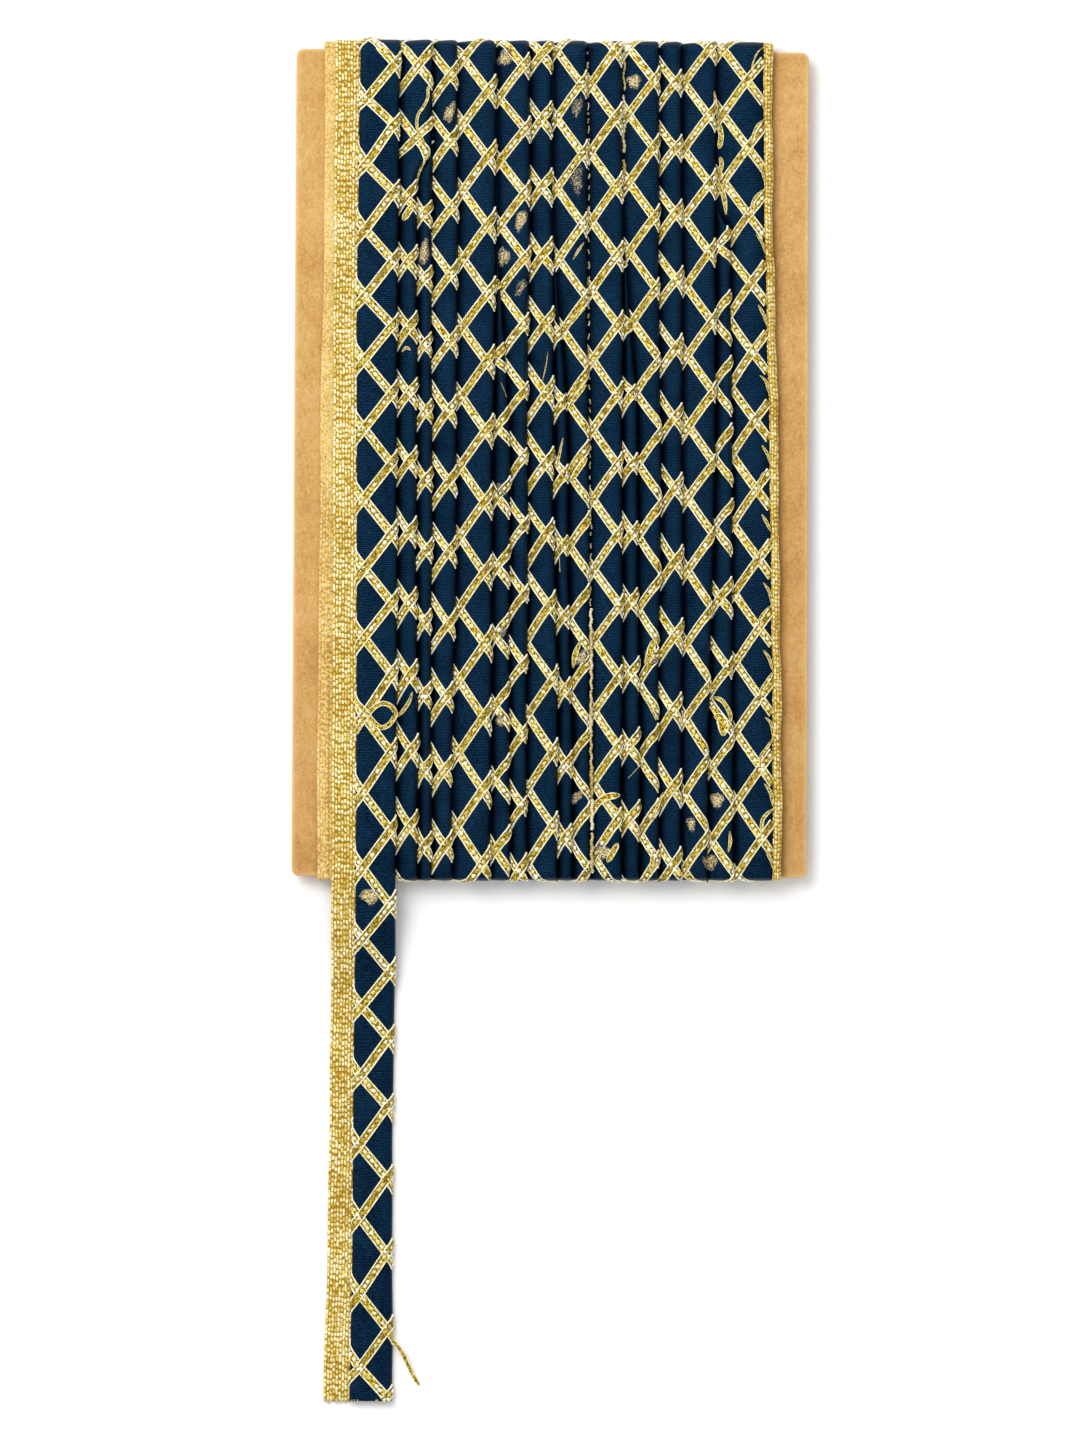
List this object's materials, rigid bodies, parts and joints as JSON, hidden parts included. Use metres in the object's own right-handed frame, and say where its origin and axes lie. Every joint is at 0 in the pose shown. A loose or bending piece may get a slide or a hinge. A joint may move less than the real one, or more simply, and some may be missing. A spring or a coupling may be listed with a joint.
{
  "type": "lace trim wound on a card",
  "caption": "Flat satin piping trim with a woven metallic lip and a diamond braid trellis, wound round a board card with a loose end lying below.",
  "frame": {"origin": "middle of the whole outline, on the surface that the part lies on", "axes": "+Y along the turns towards the card's top edge, +Z out of the front face, +X across the turns to the right"},
  "size_m": [0.1542, 0.4086, 0.0108],
  "materials": {
    "kraft_card": "matte kraft board with worn edges",
    "navy_satin": "fine satin weave with a soft sheen",
    "gold_weave": "woven metallic yarn, coarse nubs, soft glitter",
    "gold_braid": "narrow metallic braid with pale edge cords and bead-like stitches"
  },
  "bodies": {
    "root": {"card": "kraft_card", "winding": "navy_satin", "under_lip_left": "gold_weave", "under_lip_right": "gold_weave", "tail_lip": "gold_weave", "tail_welt": "navy_satin", "tail_lattice": "gold_braid"}
  },
  "joints": []
}
